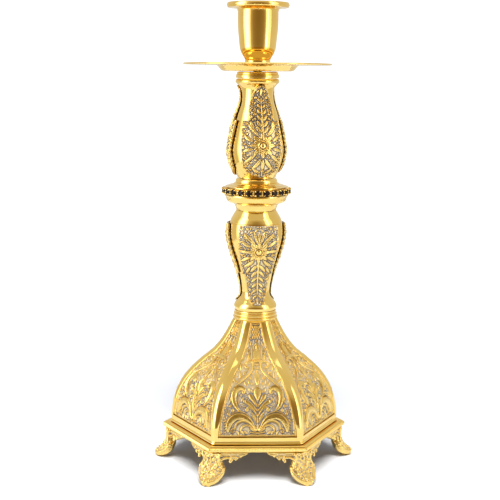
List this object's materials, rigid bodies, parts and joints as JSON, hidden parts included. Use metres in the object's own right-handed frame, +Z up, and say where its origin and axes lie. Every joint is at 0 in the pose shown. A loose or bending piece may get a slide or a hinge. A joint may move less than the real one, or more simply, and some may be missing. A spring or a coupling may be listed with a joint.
{
  "type": "altar candlestick",
  "caption": "Tall gilt brass altar candlestick with a hexagonal chased bell base on scrolled feet, two balusters, a stone-set node, drip pan and candle socket.",
  "frame": {"origin": "centre of the bounding box at the floor, under the candlestick's axis", "axes": "+Z up along the column, from the feet to the candle socket; -Y towards the viewer, facing one flat panel of the base; a corner of the hexagon on +X"},
  "size_m": [0.1336, 0.121, 0.3],
  "materials": {
    "polished_gold": "gold-plated brass, bright mirror polish with fine wiping scratches",
    "chased_gold": "gold-plated cast relief with a stippled ground, greyer in the recesses",
    "black_stone": "glossy near-black faceted paste stones",
    "rod_steel": "zinc-plated steel, satin"
  },
  "bodies": {
    "stand": {"base_bell": "polished_gold", "bell_panel_1": "chased_gold", "bell_panel_2": "chased_gold", "bell_panel_3": "chased_gold", "bell_panel_4": "chased_gold", "bell_panel_5": "chased_gold", "bell_panel_6": "chased_gold", "base_plate": "polished_gold", "foot_1": "chased_gold", "foot_2": "chased_gold", "foot_3": "chased_gold", "foot_4": "chased_gold", "foot_5": "chased_gold", "foot_6": "chased_gold", "lower_collar": "polished_gold", "lower_baluster": "polished_gold", "node_bowl": "polished_gold", "node_cap": "polished_gold", "gem_ring": "polished_gold", "gem_stone_01": "black_stone", "gem_stone_02": "black_stone", "gem_stone_03": "black_stone", "gem_stone_04": "black_stone", "gem_stone_05": "black_stone", "gem_stone_06": "black_stone", "gem_stone_07": "black_stone", "gem_stone_08": "black_stone", "gem_stone_09": "black_stone", "gem_stone_10": "black_stone", "gem_stone_11": "black_stone", "gem_stone_12": "black_stone", "gem_stone_13": "black_stone", "gem_stone_14": "black_stone", "gem_stone_15": "black_stone", "gem_stone_16": "black_stone", "gem_stone_17": "black_stone", "gem_stone_18": "black_stone", "gem_stone_19": "black_stone", "gem_stone_20": "black_stone", "gem_stone_21": "black_stone", "gem_stone_22": "black_stone", "gem_stone_23": "black_stone", "gem_stone_24": "black_stone", "upper_baluster": "polished_gold", "upper_collar": "polished_gold", "upper_ornament_1": "chased_gold", "upper_ornament_2": "chased_gold", "upper_ornament_3": "chased_gold", "lower_ornament_1": "chased_gold", "lower_ornament_2": "chased_gold", "lower_ornament_3": "chased_gold", "tie_rod": "rod_steel", "rod_washer": "rod_steel", "rod_nut": "rod_steel"},
    "pan": {"drip_pan": "polished_gold"},
    "socket": {"candle_socket": "polished_gold"}
  },
  "joints": [
    {"name": "pan_lift", "type": "slide", "parent": "stand", "child": "pan", "axis": [0, 0, 1], "range_m": [0, 0.02]},
    {"name": "socket_lift", "type": "slide", "parent": "pan", "child": "socket", "axis": [0, 0, 1], "range_m": [0, 0.02]}
  ]
}
